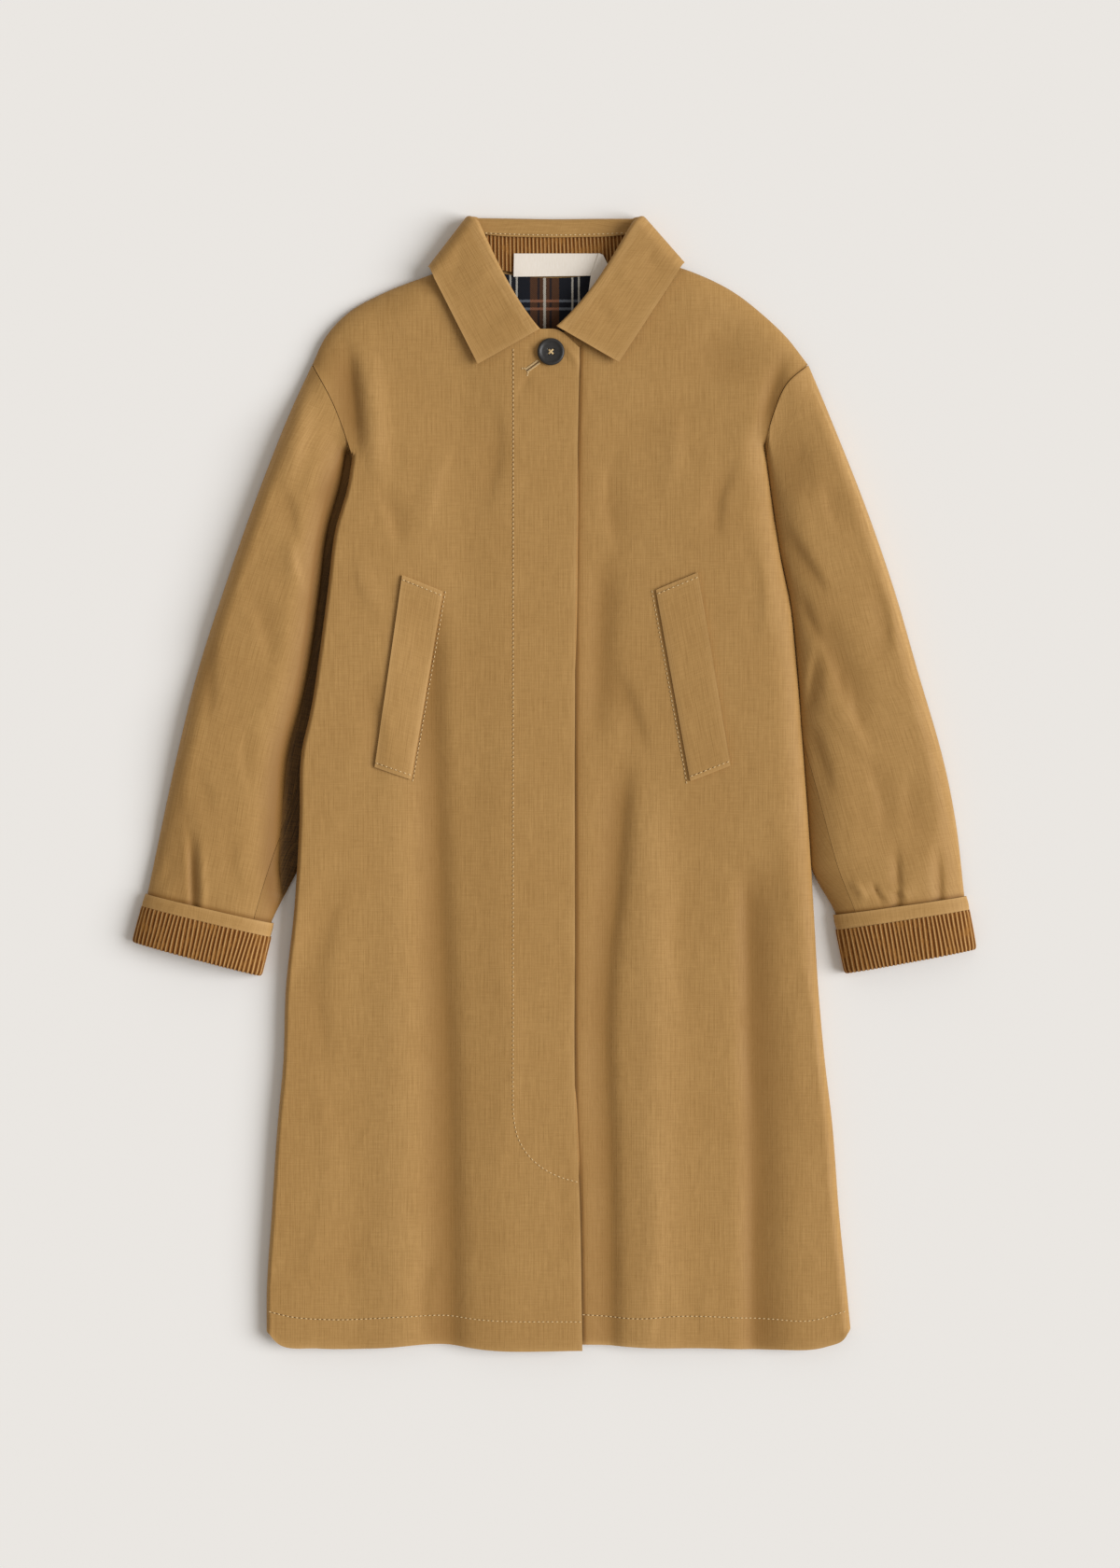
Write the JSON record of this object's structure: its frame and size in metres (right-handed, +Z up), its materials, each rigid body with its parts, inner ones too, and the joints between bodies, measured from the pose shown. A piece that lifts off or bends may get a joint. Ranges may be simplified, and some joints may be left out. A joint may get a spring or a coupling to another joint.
{
  "type": "oilskin coat",
  "caption": "Tan oilskin coat laid flat on its back and closed at the neck, with turned-up corduroy cuffs, slanted pocket welts, a hidden fly front and a check lining at the neck.",
  "frame": {"origin": "Middle of the underside, below the centre of the coat's bounding box, on the surface that it lies on", "axes": "+X to the viewer's right across the coat, +Y from the hem to the collar, +Z up away from the surface"},
  "size_m": [0.8134, 1.0956, 0.0263],
  "materials": {
    "oilskin": "waxed woven cotton, soft sheen",
    "corduroy": "ribbed cotton pile, matte",
    "lining": "woven check cotton, matte",
    "tape": "woven tape, satin",
    "horn": "moulded, semi-gloss"
  },
  "bodies": {
    "root": {"back": "oilskin", "back_lining": "lining", "button": "horn", "collar": "oilskin", "collar_stand": "corduroy", "cuff_cord_left": "corduroy", "cuff_cord_right": "corduroy", "cuff_strip_left": "oilskin", "cuff_strip_right": "oilskin", "fly_facing": "oilskin", "front_over": "oilskin", "front_under": "oilskin", "label_tail": "tape", "label_tape": "tape", "sleeve_under_left": "oilskin", "sleeve_under_right": "oilskin", "sleeve_upper_left": "oilskin", "sleeve_upper_right": "oilskin", "welt_left": "oilskin", "welt_right": "oilskin"}
  },
  "joints": []
}
